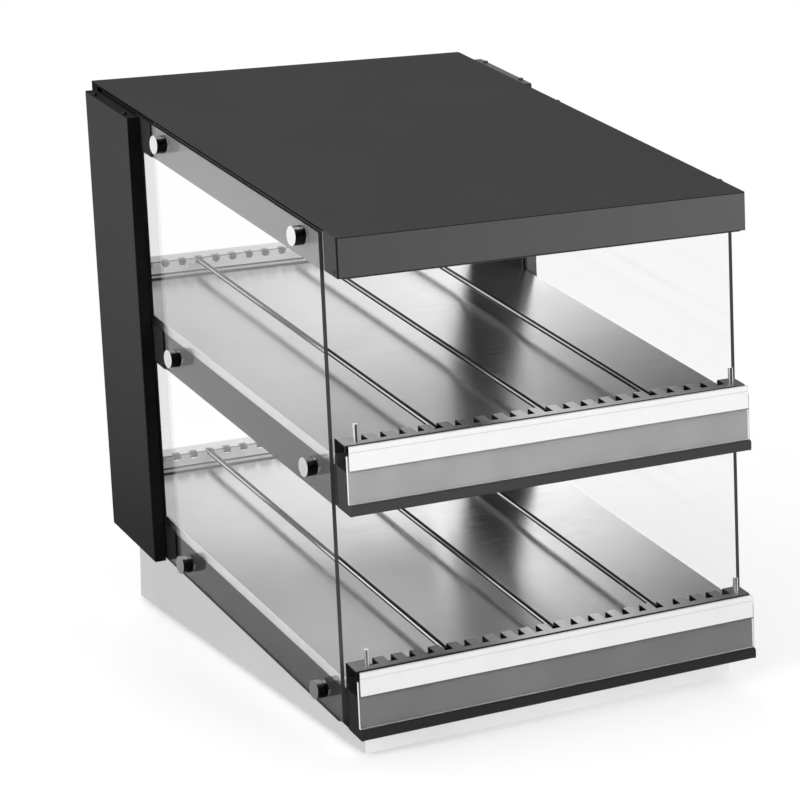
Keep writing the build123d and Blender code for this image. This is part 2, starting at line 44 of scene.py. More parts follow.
# The same slope, lean and datum lines as the part, in metres
SLOPE = radians(7.25)
LEAN = radians(5.3)
SHIFT_Y = -0.29727
BASE_Z = 0.003
ALONG_DECK = (0.0, cos(SLOPE), sin(SLOPE))
HOOD_HALF_WIDTH = 0.225

# Where a tone changes, each as the start and the end of the change in metres.
# X runs across, S along the slope from the front and W up along the columns.
# Where the deck's side rims start, which carry a painted highlight
DECK_RIM_HIGHLIGHT_X = (0.2224, 0.2227)
# Where the hood's front takes painted shade along its top edge and its foot, and its side lips
# past the returns
HOOD_TOP_EDGE_W = (0.4906, 0.4909)
HOOD_FRONT_FOOT_W = (0.4549, 0.4552)
HOOD_RETURN_END_S = (0.0252, 0.0256)
# Where the front comb turns matt, and where its cuts stop taking painted shade
FRONT_COMB_FOLD_S = (0.0246, 0.0250)
FRONT_COMB_WALL_S = (0.0272, 0.0276)
# Where the rear comb's lines of painted shade lie
REAR_COMB_FOLD_S = (0.5308, 0.5311)
REAR_COMB_FOOT_S = (0.5285, 0.5288)
REAR_COMB_EDGE_S = (0.5216, 0.5219)
# Where the caps' painted shade line lies
CAP_GROOVE_SHADE_X = (0.2312, 0.2318)
KNOB_POINTER_Y = (0.2583, 0.2585)
# Where the hood's front grows lighter, as painted light
HOOD_FRONT_LIGHT_X = (-0.22, 0.22)
# Where the right column's painted light starts, and how the column sides' painted light grows with
# height
MIDDLE_X = (-0.1, 0.1)
COLUMN_LIGHT_HEIGHT_W = (0.05, 0.45)
# Where the caps' faces grow lighter, as painted light
CAPS_LIGHT_HEIGHT_W = (0.05, 0.46)

# The same, as heights above the deck's top
# Where the rear comb's lines of painted shade lie, in height
REAR_COMB_FOLD_UP = (0.0148, 0.0150)
REAR_COMB_FOOT_UP = (0.0026, 0.0029)
# Where the label's lines of painted shade lie
LABEL_HOOK_UP = (0.0106, 0.0112)
LABEL_FOOT_UP = (-0.0062, -0.0058)
FINE_LINE_SOFTNESS = 0.0003

# Faces by the way they look: the axis of the normal, and how its part maps onto 0..1
FACING = {
    "up": ("Z", 0, 1, 0.5, 0.8),
    "down": ("Z", 1, 0, -0.6, -0.4),
    "back": ("Y", 0, 1, 0.5, 0.8),
    "front": ("Y", 1, 0, -0.9, -0.6),
    "partly front": ("Y", 1, 0, -0.6, -0.4),
}

# Where a tone changes with the slant of a face, each as the start and the end of the change
SIDEWAYS = (0.6, 0.9)
# Where the hood's side lips and folded corners take painted shade
LIP_SIDEWAYS = (0.8, 0.9)
CORNER_TURN = (0.15, 0.35)
# Where the rails' inner faces get their painted bright tone
INWARD = (-0.1, -0.05)
# Where the caps' barrel top takes its painted highlight
CAP_TOP_HIGHLIGHT = (0.7, 0.86)
# Bands of slant, each as the start, the end and the soft width outside
# The caps' painted rim highlight and the rods' painted highlight band
CAP_RIM_HIGHLIGHT = (0.3, 0.95, 0.05)
ROD_HIGHLIGHT = (0.25, 0.62, 0.14)

# Noise scales, in cells per metre
BRUSH_LINES = 1400
TURNING_LINES = 900
ORANGE_PEEL = 2600
STEEL_CLOUDS = 9
PAINT_CLOUDS = 6
PLASTIC_CLOUDS = 40
GLASS_HAZE = 12
HOLDER_HAZE = 30
LINE_STRETCH = 0.02
# How far a roughness strays below and above its middle
ROUGH_BELOW = 0.03
ROUGH_ABOVE = 0.04

# Bump strengths and depths, the depths in metres
BRUSH_STRENGTH = 0.03
POLISH_STRENGTH = 0.01
PEEL_STRENGTH = 0.1
FINE_PEEL_STRENGTH = 0.05
BRUSH_DEPTH = 0.0002
PEEL_DEPTH = 0.0001

# Level by level: the deck's top along W in metres, the tones of what stands at its front (the
# upper level's painted lighter and the lower's darker, as painted light and shade, with a painted
# shade line along the label's foot), how clear its price holder is (less clear above, so the upper
# one
# looks lighter: painted light), and its front comb's tones as (x, tone) stops, a painted
# reflection
LEVELS = {
    "lower": {
        "deck_top": 0.072,
        "fascia": 0.022,
        "label": 0.77,
        "label_foot_shade": 0.07,
        "holder_clear": 0.95,
        "comb": ((-0.2, 0.26), (-0.14, 0.13), (-0.085, 0.34),
                 (-0.02, 0.99), (0.06, 0.95), (0.2, 0.25)),
    },
    "upper": {
        "deck_top": 0.2845,
        "fascia": 0.052,
        "label": 0.86,
        "label_foot_shade": 0.2,
        "holder_clear": 0.84,
        "comb": ((-0.2, 0.60), (-0.14, 0.44), (-0.08, 0.18),
                 (-0.035, 0.99), (0.06, 0.97), (0.2, 0.35)),
    },
}
COMB_RAMP_HALF = 0.25
# Each pair of rails: the tone of its outer sides and its metallic share; the tones fall from
# the hood's pair down to the lower pair as painted light and shade
RAILS = {"hood": (0.24, 0.4), "upper": (0.022, 0.0), "lower": (0.010, 0.0)}

# The rivets at the lower corners of the hood's front, in metres
RIVET_S = 0.0065
RIVET_W = 0.4585
RIVET_RADIUS = 0.0017
RIVET_HEIGHT = 0.0008
DOME_SIDES = 16
DOME_RINGS = 4

# Camera: the photograph's place, with a lens in millimetres
CAMERA_PLACE = (-1.3367, -2.3501, 0.9875)
CAMERA_DIP = 15.19
CAMERA_TURN = 29.30
CAMERA_LENS = 122.1
CAMERA_SENSOR = 36.0
CAMERA_CLIP = (0.05, 60)

# Stage: a round pale table top that fades into a white backdrop
FLOOR_TONE = 0.9
# The floor's tone where mirrors see its left part, and where that starts: painted shade
FLOOR_MIRRORED_SHADE = 0.36
FLOOR_MIRRORED_X = (-0.25, 0.05)
FLOOR_LIFT = 0.36
FLOOR_FADE = 0.5
FLOOR_RADIUS = 0.95
FLOOR_Z = -0.0005
FLOOR_SIDES = 96
AMBIENT_STRENGTH = 0.56
ROOM_TONE = 0.08
ROOM_REACH = (-0.7, -0.3)

# Area lights: name, place, width and height in metres, power in watts
LIGHT_TARGET = (0, 0, 0.3)
AREA_LIGHTS = (
    ("left_key", (-2.6, -0.9, 0.75), 1.2, 1.2, 34),
    ("front_fill", (0.4, -2.8, 0.7), 1.6, 1.0, 30),
    ("rear_fill", (0.8, 2.8, 0.9), 1.6, 1.2, 24),
)

# The card behind the case: its sheet in metres, then its changes in strength, each as the
# strengths at the start and the end of a stretch, and that stretch
CARD_X = (-1.5, 2.5)
CARD_Z = (0.42, 2.5)
CARD_Y = 0.6
CARD_CORNER_RISE = 1.5
CARD_CORNER_FADE = (1.2, 0.06, 1.42, 1.96)
CARD_LEFT_FADE = (0.6, 1.2, 0.05, 0.4)
CARD_LOW_LEFT = (0.3, 0, 0.52, 0.62)
CARD_LOW_RIGHT = (0.45, 0, 0.64, 0.76)
CARD_LOW_RIGHT_X = (0.44, 0.56)


# Node helpers

def new_material(name):
    """A material with a bare shader: the material, its node tree and the shader."""
    mat = bpy.data.materials.new(name)
    mat.use_nodes = True
    tree = mat.node_tree
    tree.nodes.clear()
    out = tree.nodes.new("ShaderNodeOutputMaterial")
    shader = tree.nodes.new("ShaderNodeBsdfPrincipled")
    tree.links.new(shader.outputs["BSDF"], out.inputs["Surface"])
    return mat, tree, shader


SOCKETS = {
    "colour": "Base Color",
    "roughness": "Roughness",
    "metallic": "Metallic",
    "specular": "Specular IOR Level",
    "ior": "IOR",
    "transmission": "Transmission Weight",
    "anisotropy": "Anisotropic",
    "glow_colour": "Emission Color",
    "glow": "Emission Strength",
}


def feed(tree, shader, **values):
    """Sets the shader's sockets to numbers or colours, or links them to other sockets."""
    for key, value in values.items():
        socket = shader.inputs[SOCKETS[key]]
        if isinstance(value, tuple):
            socket.default_value = (*value, 1)
        elif isinstance(value, (int, float)):
            socket.default_value = value
        else:
            tree.links.new(value, socket)


def object_axes(tree, source="Object"):
    """The X, Y and Z parts of a texture coordinate."""
    coord = tree.nodes.new("ShaderNodeTexCoord")
    split = tree.nodes.new("ShaderNodeSeparateXYZ")
    tree.links.new(coord.outputs[source], split.inputs["Vector"])
    return split.outputs


def noise(tree, scale, detail=3.0, rough=0.5, stretch=(1, 1, 1)):
    """Noise over object coordinates in metres; a low stretch draws it out along an axis."""
    coord = tree.nodes.new("ShaderNodeTexCoord")
    mapping = tree.nodes.new("ShaderNodeMapping")
    mapping.inputs["Scale"].default_value = stretch
    tex = tree.nodes.new("ShaderNodeTexNoise")
    tex.inputs["Scale"].default_value = scale
    tex.inputs["Detail"].default_value = detail
    tex.inputs["Roughness"].default_value = rough
    tree.links.new(coord.outputs["Object"], mapping.inputs["Vector"])
    tree.links.new(mapping.outputs["Vector"], tex.inputs["Vector"])
    return tex.outputs["Fac"]


def brush_lines(tree, along):
    """The fine grinding lines of sheet steel, along one axis."""
    stretch = [LINE_STRETCH if axis == along else 1 for axis in "XYZ"]
    return noise(tree, BRUSH_LINES, 2, 0.6, stretch)


def orange_peel(tree):
    """The fine grain of powder coat."""
    return noise(tree, ORANGE_PEEL, 2)


def spread(tree, value, low, high, start=0.35, end=0.65):
    """Maps a value from start..end onto low..high; left out, they are where noise mostly lies."""
    ramp = tree.nodes.new("ShaderNodeMapRange")
    ramp.inputs["From Min"].default_value = start
    ramp.inputs["From Max"].default_value = end
    ramp.inputs["To Min"].default_value = low
    ramp.inputs["To Max"].default_value = high
    tree.links.new(value, ramp.inputs["Value"])
    return ramp.outputs["Result"]


def scatter(tree, value, rough):
    """A roughness that strays a little with a noise value."""
    return spread(tree, value, rough - ROUGH_BELOW, rough + ROUGH_ABOVE)


def past(tree, value, change):
    """1 past the end of a change, 0 before its start."""
    return spread(tree, value, 0, 1, *change)


def before(tree, value, change):
    """1 before the start of a change, 0 past its end."""
    return spread(tree, value, 1, 0, *change)


def blend_colour(tree, value, a, b):
    """A colour between a and b by a 0..1 value; each is a grey tuple or a socket."""
    mix = tree.nodes.new("ShaderNodeMix")
    mix.data_type = "RGBA"
    tree.links.new(value, mix.inputs["Factor"])
    for socket, colour in (("A", a), ("B", b)):
        if isinstance(colour, tuple):
            mix.inputs[socket].default_value = (*colour, 1)
        else:
            tree.links.new(colour, mix.inputs[socket])
    return mix.outputs["Result"]


def calc(tree, operation, a, b=0.0):
    """One math node; a and b are sockets or numbers."""
    node = tree.nodes.new("ShaderNodeMath")
    node.operation = operation
    for i, value in enumerate((a, b)):
        if isinstance(value, (int, float)):
            node.inputs[i].default_value = value
        else:
            tree.links.new(value, node.inputs[i])
    return node.outputs["Value"]


def most(tree, first, *others):
    """The highest of some values."""
    for other in others:
        first = calc(tree, "MAXIMUM", first, other)
    return first


def band(tree, value, start, end, soft=FINE_LINE_SOFTNESS):
    """1 where a value lies between start and end, falling to 0 over the soft width outside."""
    rise = past(tree, value, (start - soft, start))
    fall = before(tree, value, (end, end + soft))
    return calc(tree, "MULTIPLY", rise, fall)


def normal_part(tree, axis, smooth=False):
    """How far a face looks along one axis, -1 to 1."""
    geometry = tree.nodes.new("ShaderNodeNewGeometry")
    split = tree.nodes.new("ShaderNodeSeparateXYZ")
    tree.links.new(geometry.outputs["Normal" if smooth else "True Normal"], split.inputs["Vector"])
    return split.outputs[axis]


def facing(tree, way, smooth=False):
    """1 on faces that look one way, 0 on the others."""
    axis, *mapping = FACING[way]
    return spread(tree, normal_part(tree, axis, smooth), *mapping)


def sideways(tree):
    """How far a face looks to either side, 0 to 1."""
    return calc(tree, "ABSOLUTE", normal_part(tree, "X"))


def facing_sideways(tree):
    """1 on faces that look along X, 0 on the others."""
    return past(tree, sideways(tree), SIDEWAYS)


def place_on(tree, axis):
    """A place in metres: X across, S along the slope from the front, W up along the columns."""
    axes = object_axes(tree)
    if axis == "X":
        return axes["X"]
    y = calc(tree, "SUBTRACT", axes["Y"], SHIFT_Y)
    z = calc(tree, "SUBTRACT", axes["Z"], BASE_Z)
    turn = cos(SLOPE + LEAN)
    if axis == "S":
        return calc(tree, "SUBTRACT", calc(tree, "MULTIPLY", y, cos(LEAN) / turn),
                    calc(tree, "MULTIPLY", z, sin(LEAN) / turn))
    return calc(tree, "SUBTRACT", calc(tree, "MULTIPLY", z, cos(SLOPE) / turn),
                calc(tree, "MULTIPLY", y, sin(SLOPE) / turn))


def grey(tone, warm=0.0):
    """A grey colour, redder than blue by its warmth."""
    return (tone * (1 + warm), tone, tone * (1 - warm))


def mottle(tree, value, tone, part, warm=0.0):
    """A grey that strays from its tone by a part of it, with a noise value."""
    return blend_colour(tree, spread(tree, value, 0, 1),
                        grey(tone * (1 - part), warm), grey(tone * (1 + part), warm))


def along_width(tree, stops):
    """A tone that changes along X; stops are (x, tone) pairs."""
    ramp = tree.nodes.new("ShaderNodeValToRGB")
    elements = ramp.color_ramp.elements
    while len(elements) < len(stops):
        elements.new(0.5)
    # All the places before the tones, because a moved stop may change its turn in the list
    for element, (x, tone) in zip(elements, stops):
        element.position = (x + COMB_RAMP_HALF) / (2 * COMB_RAMP_HALF)
    for element, (x, tone) in zip(elements, stops):
        element.color = grey(tone) + (1,)
    reach = past(tree, place_on(tree, "X"), (-COMB_RAMP_HALF, COMB_RAMP_HALF))
    tree.links.new(reach, ramp.inputs["Fac"])
    return ramp.outputs["Color"]


def bump(tree, shader, height, strength=BRUSH_STRENGTH, depth=BRUSH_DEPTH):
    """Fine relief from a noise value."""
    node = tree.nodes.new("ShaderNodeBump")
    node.inputs["Strength"].default_value = strength
    node.inputs["Distance"].default_value = depth
    tree.links.new(height, node.inputs["Height"])
    tree.links.new(node.outputs["Normal"], shader.inputs["Normal"])


# Plain materials

# Painted shade: the near-black tone painted on folds, cuts and undersides in place of their shade,
# and on the rods' flanks as a painted reflection of a dark room
PAINTED_SHADE = grey(0.012)
# How metallic the deck's rims stay under their painted highlight
RIM_HIGHLIGHT_METALLIC = 0.1
DECK_ANISOTROPY = 0.9


def brushed(name, tone, rough, vary=0.03, strength=BRUSH_STRENGTH, metallic=1.0):
    """Brushed stainless: fine lines from front to back, and faint clouds."""
    mat, tree, shader = new_material(name)
    lines = brush_lines(tree, "Y")
    clouds = spread(tree, noise(tree, STEEL_CLOUDS), 0, 1)
    feed(tree, shader,
         colour=blend_colour(tree, clouds, grey(tone - vary), grey(tone + vary)),
         roughness=scatter(tree, lines, rough),
         metallic=metallic)
    bump(tree, shader, lines, strength)
    return mat


def deck_material():
    """Brushed stainless that spreads reflections along the deck, with a painted highlight on its
    side rims.
    """
    mat, tree, shader = new_material("deck_steel")
    lines = brush_lines(tree, "X")
    clouds = spread(tree, noise(tree, STEEL_CLOUDS), 0, 1)
    colour = blend_colour(tree, clouds, grey(0.68), grey(0.74))
    # Painted highlight: the rims' up-facing faces are painted white and made nearly matt
    beyond = past(tree, calc(tree, "ABSOLUTE", place_on(tree, "X")), DECK_RIM_HIGHLIGHT_X)
    rim = calc(tree, "MULTIPLY", beyond, facing(tree, "up"))
    feed(tree, shader,
         colour=blend_colour(tree, rim, colour, grey(1.0)),
         roughness=scatter(tree, lines, 0.17),
         metallic=spread(tree, rim, 1.0, RIM_HIGHLIGHT_METALLIC, 0, 1),
         anisotropy=DECK_ANISOTROPY)
    direction = tree.nodes.new("ShaderNodeCombineXYZ")
    for axis, value in zip("XYZ", ALONG_DECK):
        direction.inputs[axis].default_value = value
    tree.links.new(direction.outputs["Vector"], shader.inputs["Tangent"])
    bump(tree, shader, lines)
    return mat


def coated(name, tone, rough, specular):
    """Powder coat: fine orange peel and slow variation of sheen."""
    mat, tree, shader = new_material(name)
    clouds = noise(tree, PAINT_CLOUDS)
    feed(tree, shader,
         colour=mottle(tree, clouds, tone, 0.04),
         roughness=scatter(tree, clouds, rough),
         specular=specular)
    bump(tree, shader, orange_peel(tree), PEEL_STRENGTH, PEEL_DEPTH)
    return mat


def plastic(name, tone, rough, warm=0.0):
    """Smooth moulded plastic, rubber or pressed fibre, by its roughness."""
    mat, tree, shader = new_material(name)
    clouds = noise(tree, PLASTIC_CLOUDS)
    feed(tree, shader,
         colour=mottle(tree, clouds, tone, 0.03, warm),
         roughness=spread(tree, clouds, rough - 0.02, rough + 0.03))
    return mat


# Materials of single pieces

def glass_material():
    """Clear toughened glass: see-through faces, edges painted dark, and a painted highlight on the
    one at the back.
    """
    mat, tree, shader = new_material("side_glass")
    side = facing_sideways(tree)
    # Edge faces: painted dark, and where they look back a painted highlight
    edge = blend_colour(tree, facing(tree, "back"), (0.05, 0.053, 0.053), (0.9, 0.92, 0.915))
    feed(tree, shader,
         colour=blend_colour(tree, side, edge, (0.985, 0.988, 0.987)),
         roughness=spread(tree, noise(tree, GLASS_HAZE), 0.0, 0.01),
         transmission=side,
         ior=1.4)
    return mat


def base_material():
    """Pale brushed stainless, with painted light: the front, which faces the light, painted
    brightest.
    """
    mat, tree, shader = new_material("base_steel")
    lines = brush_lines(tree, "Z")
    front = facing(tree, "front")
    # Painted light: front-facing faces get a lighter tone
    tone = blend_colour(tree, front, grey(0.79), grey(0.93))
    clouds = spread(tree, noise(tree, STEEL_CLOUDS), 0, 0.1)
    feed(tree, shader,
         colour=blend_colour(tree, clouds, tone, grey(0.5)),
         roughness=scatter(tree, lines, 0.4),
         metallic=spread(tree, front, 0.3, 0.15, 0, 1))
    bump(tree, shader, lines)
    return mat


def hood_paint():
    """Charcoal powder coat with painted light and shade: the front a little lighter to the right,
    the folded edges dark.
    """
    mat, tree, shader = new_material("hood_paint")
    clouds = noise(tree, PAINT_CLOUDS)
    front = facing(tree, "front")
    # Painted light: the front's tone grows lighter to the right
    right = past(tree, place_on(tree, "X"), HOOD_FRONT_LIGHT_X)
    front_painted_light = blend_colour(tree, right, grey(0.078), grey(0.112))
    colour = blend_colour(tree, spread(tree, clouds, 0, 1), grey(0.075), grey(0.081))
    colour = blend_colour(tree, front, colour, front_painted_light)
    # Painted shade: dark on the folded corners, along the front's top edge and foot, and on the
    # side lips
    turn = calc(tree, "MULTIPLY", normal_part(tree, "X"), normal_part(tree, "Y"))
    corner = past(tree, calc(tree, "ABSOLUTE", turn), CORNER_TURN)
    height = place_on(tree, "W")
    ends = most(tree, past(tree, height, HOOD_TOP_EDGE_W), before(tree, height, HOOD_FRONT_FOOT_W))
    lip_shade = calc(tree, "MULTIPLY", past(tree, sideways(tree), LIP_SIDEWAYS),
               past(tree, place_on(tree, "S"), HOOD_RETURN_END_S))
    dark = most(tree, corner, calc(tree, "MULTIPLY", front, ends), lip_shade)
    feed(tree, shader,
         colour=blend_colour(tree, dark, colour, PAINTED_SHADE),
         roughness=spread(tree, clouds, 0.8, 0.88),
         specular=0.02)
    bump(tree, shader, orange_peel(tree), PEEL_STRENGTH, PEEL_DEPTH)
    return mat


def rod_material():
    """Polished round rod: a painted highlight band above its flanks, which are painted dark as a
    reflection of a dark room.
    """
    mat, tree, shader = new_material("rod_steel")
    lines = brush_lines(tree, "Y")
    # Painted highlight: a bright band on the rod's upper slopes
    highlight_band = band(tree, normal_part(tree, "Z", smooth=True), *ROD_HIGHLIGHT)
    bright = blend_colour(tree, spread(tree, lines, 0, 1), grey(0.78), grey(0.84))
    # Painted reflection: the flanks near black, the faces that look down mid grey
    dark = blend_colour(tree, facing(tree, "down", smooth=True), PAINTED_SHADE, grey(0.5))
    feed(tree, shader,
         colour=blend_colour(tree, highlight_band, dark, bright),
         roughness=spread(tree, lines, 0.12, 0.18),
         metallic=1.0)
    bump(tree, shader, lines, POLISH_STRENGTH)
    return mat


def front_comb_material(name, stops):
    """Folded sheet: a painted reflection on top, bright cuts in its rear wall, painted shade
    inside and below.
    """
    mat, tree, shader = new_material(name)
    lines = brush_lines(tree, "X")
    along = place_on(tree, "S")
    # Painted reflection: the top's tone changes along the width by the level's stops
    flange_reflection = blend_colour(tree, spread(tree, lines, 0, 0.06), along_width(tree, stops), grey(0.5))
    # Past the fold the sheet turns matt, so the fold and the rear wall's cuts show bright in place
    # of highlights
    fold = past(tree, along, FRONT_COMB_FOLD_S)
    cut = facing_sideways(tree)
    # Painted shade: faces that look partly forward or down, and the cuts in front of the rear wall
    shaded_cut = calc(tree, "MULTIPLY", cut, before(tree, along, FRONT_COMB_WALL_S))
    dark = most(tree, facing(tree, "partly front"), facing(tree, "down"), shaded_cut)
    feed(tree, shader,
         colour=blend_colour(tree, dark, flange_reflection, PAINTED_SHADE),
         roughness=scatter(tree, lines, 0.23),
         metallic=spread(tree, fold, 0.6, 0, 0, 1))
    bump(tree, shader, lines)
    return mat


def rear_comb_material(name, deck_top):
    """Satin folded sheet, with fine lines of painted shade at its fold, its edge and its foot on
    the deck.
    """
    mat, tree, shader = new_material(name)
    lines = brush_lines(tree, "X")
    along = place_on(tree, "S")
    up = calc(tree, "SUBTRACT", place_on(tree, "W"), deck_top)
    colour = blend_colour(tree, spread(tree, lines, 0, 1), grey(0.94), grey(1.0))
    # Painted shade: fine dark lines at the fold, the foot and the front edge
    fold = calc(tree, "MULTIPLY", before(tree, along, REAR_COMB_FOLD_S),
                past(tree, up, REAR_COMB_FOLD_UP))
    foot = calc(tree, "MULTIPLY", past(tree, along, REAR_COMB_FOOT_S),
                before(tree, up, REAR_COMB_FOOT_UP))
    dark = most(tree, fold, foot, before(tree, along, REAR_COMB_EDGE_S))
    feed(tree, shader,
         colour=blend_colour(tree, dark, colour, grey(0.07)),
         roughness=scatter(tree, lines, 0.33),
         metallic=spread(tree, facing(tree, "up"), 0, 0.5, 0, 1))
    bump(tree, shader, lines)
    return mat


def column_material():
    """Black powder coat with painted light: lighter high on its outer sides and on the right
    column's front.
    """
    mat, tree, shader = new_material("column_paint")
    peel = orange_peel(tree)
    # Painted light: the outer sides lighter higher up
    height = past(tree, place_on(tree, "W"), COLUMN_LIGHT_HEIGHT_W)
    flank_painted_light = blend_colour(tree, height, grey(0.019), grey(0.046))
    # Painted light: the right column's front lighter, its top faces lighter still
    right = past(tree, place_on(tree, "X"), MIDDLE_X)
    front = blend_colour(tree, right, grey(0.005), grey(0.06))
    top = calc(tree, "MULTIPLY", right, facing(tree, "up"))
    front = blend_colour(tree, top, front, grey(0.2))
    feed(tree, shader,
         colour=blend_colour(tree, facing_sideways(tree), front, flank_painted_light),
         roughness=spread(tree, peel, 0.5, 0.56),
         specular=0.06)
    bump(tree, shader, peel, FINE_PEEL_STRENGTH, PEEL_DEPTH)
    return mat


def knob_material():
    """Moulded black plastic, with a white pointer on the ridge of the knob's face."""
    mat, tree, shader = new_material("knob_black")
    clouds = noise(tree, PLASTIC_CLOUDS)
    black = blend_colour(tree, spread(tree, clouds, 0, 1), grey(0.028), grey(0.034))
    pointer = past(tree, object_axes(tree)["Y"], KNOB_POINTER_Y)
    feed(tree, shader,
         colour=blend_colour(tree, pointer, black, grey(0.8)),
         roughness=spread(tree, clouds, 0.4, 0.46))
    return mat


def rail_material(name, tone, metallic):
    """Side rail: its outer side painted as dark as it looks behind the glass, its inner side
    bright.
    """
    mat, tree, shader = new_material(name)
    lines = brush_lines(tree, "Y")
    # Painted shade and light: the outer side's tone stands in for its shade; the inner and lower
    # faces are painted bright so the decks mirror them bright
    inward = calc(tree, "MULTIPLY", place_on(tree, "X"), normal_part(tree, "X"))
    bright = most(tree, before(tree, inward, INWARD), facing(tree, "down"))
    feed(tree, shader,
         colour=blend_colour(tree, bright, mottle(tree, lines, tone, 0.06), grey(0.8)),
         roughness=spread(tree, lines, 0.46, 0.54),
         metallic=metallic,
         specular=0.1)
    bump(tree, shader, lines)
    return mat


def label_material(name, tone, foot_shade_tone, deck_top):
    """Smooth white strip with painted shade: a fine shaded line under its hook, a darker one along
    its foot.
    """
    mat, tree, shader = new_material(name)
    clouds = noise(tree, PLASTIC_CLOUDS)
    up = calc(tree, "SUBTRACT", place_on(tree, "W"), deck_top)
    colour = mottle(tree, clouds, tone, 0.015)
    # Painted shade: a fine darker line under the hook
    colour = blend_colour(tree, band(tree, up, *LABEL_HOOK_UP), colour, grey(tone * 0.72))
    # Painted shade: a dark line along the foot
    foot_shade_line = before(tree, up, LABEL_FOOT_UP)
    feed(tree, shader,
         colour=blend_colour(tree, foot_shade_line, colour, grey(foot_shade_tone)),
         roughness=spread(tree, clouds, 0.38, 0.43))
    return mat


def holder_material(name, clear):
    """Clear plastic plate with a satin haze, pale at its cut ends."""
    mat, tree, shader = new_material(name)
    haze = noise(tree, HOLDER_HAZE)
    feed(tree, shader,
         colour=blend_colour(tree, spread(tree, haze, 0, 1), grey(0.86), grey(0.9)),
         roughness=spread(tree, haze, 0.18, 0.24),
         # Its clearness is set per level, the upper holder less clear so it looks lighter: painted
         # light
         transmission=spread(tree, facing_sideways(tree), clear, 0.0, 0, 1),
         ior=1.49)
    return mat


def cap_material():
    """Turned stainless: satin face painted lighter higher up, painted rim highlight, barrel
    painted dark.
    """
    mat, tree, shader = new_material("cap_steel")
    side = facing_sideways(tree)
    lines = noise(tree, TURNING_LINES, 2)
    # Painted light: the face lighter higher up
    height = past(tree, place_on(tree, "W"), CAPS_LIGHT_HEIGHT_W)
    face = blend_colour(tree, height, grey(0.58), grey(0.98))
    face = blend_colour(tree, spread(tree, lines, 0, 0.08), face, grey(0.6))
    # Painted highlight on the barrel's top; elsewhere the barrel is painted dark as a reflection
    # of a dark room
    top = past(tree, normal_part(tree, "Z", smooth=True), CAP_TOP_HIGHLIGHT)
    barrel = blend_colour(tree, top, grey(0.02), grey(0.6))
    # Painted shade: a dark line round the barrel
    groove_shade = band(tree, calc(tree, "ABSOLUTE", place_on(tree, "X")), *CAP_GROOVE_SHADE_X)
    barrel = blend_colour(tree, groove_shade, barrel, grey(0.01))
    # Painted highlight: a bright band on the rim
    barrel = blend_colour(tree, band(tree, sideways(tree), *CAP_RIM_HIGHLIGHT), barrel, grey(1.0))
    feed(tree, shader,
         colour=blend_colour(tree, side, barrel, face),
         roughness=spread(tree, side, 0.25, 0.45, 0, 1),
         metallic=1.0)
    bump(tree, shader, lines)
    return mat


# Which piece wears what

def assign(mat, *names):
    """Gives one material to some pieces."""
    for name in names:
        mesh = nodes[name].data
        mesh.materials.clear()
        mesh.materials.append(mat)


def both(*names):
    """The names of pieces that stand at the left and at the right."""
    return [side + name for name in names for side in ("left_", "right_")]


def shelves(*names):
    """The names of pieces that both shelves have."""
    return [level + "_" + name for name in names for level in LEVELS]


assign(deck_material(), *shelves("shelf_deck"))
assign(brushed("pan_steel", 0.97, 0.3, vary=0.01, metallic=0.5), *shelves("shelf_pan"))
assign(brushed("liner_steel", 0.58, 0.34), "hood_liner")
assign(brushed("polished_steel", 0.8, 0.08, strength=POLISH_STRENGTH), *shelves("comb_pins"))
assign(brushed("heater_foil", 0.72, 0.3), "hood_heating_element", *shelves("heating_element"))
assign(base_material(), "base_housing", "base_floor_plate")
assign(rod_material(), *shelves("divider_rod_1", "divider_rod_2", "divider_rod_3"))
assign(cap_material(), *both("glass_caps"))
assign(glass_material(), *both("glass_panel"))
assign(hood_paint(), "hood_shell")
assign(column_material(), "column_screws", *both("column_cover", "column_upright"))
assign(knob_material(), "first_thermostat_knob", "second_thermostat_knob")
assign(plastic("moulded_black", 0.023, 0.45), "first_thermostat", "second_thermostat",
       "switch_frame", "switch_rocker", "cord_gland", "terminal_block")
assign(plastic("foot_rubber", 0.025, 0.7), "rubber_feet")
assign(plastic("fibre_mat", 0.7, 0.9, 0.05), "hood_insulation", *shelves("insulation_mat"))
# Each pair of rails gets its own outer tone: painted light and shade
for level, (tone, metallic) in RAILS.items():
    assign(rail_material(level + "_rail_steel", tone, metallic), *both(level + "_rail"))
# Each level gets its own tones, the upper painted lighter than the lower as painted light and
# shade
for level, look in LEVELS.items():
    deck_top = look["deck_top"]
    assign(front_comb_material(level + "_front_comb_steel", look["comb"]), level + "_front_comb")
    assign(rear_comb_material(level + "_rear_comb_steel", deck_top), level + "_rear_comb")
    assign(coated(level + "_fascia_paint", look["fascia"], 0.6, 0.1), level + "_fascia")
    assign(label_material(level + "_label_white", look["label"], look["label_foot_shade"], deck_top),
           level + "_label_strip")
    assign(holder_material(level + "_holder", look["holder_clear"]), level + "_price_holder")

# The glass shows the studio, not the caps that stand on it
for name in both("glass_caps"):
    nodes[name].visible_glossy = False

# Clear sheets let the studio light through to what stands behind them
for name in both("glass_panel") + shelves("price_holder"):
    nodes[name].visible_shadow = False
    nodes[name].visible_diffuse = False


# Added pieces

def put(name, data, place=(0, 0, 0)):
    """A new object in the scene."""
    obj = bpy.data.objects.new(name, data)
    obj.location = place
    bpy.context.scene.collection.objects.link(obj)
    return obj


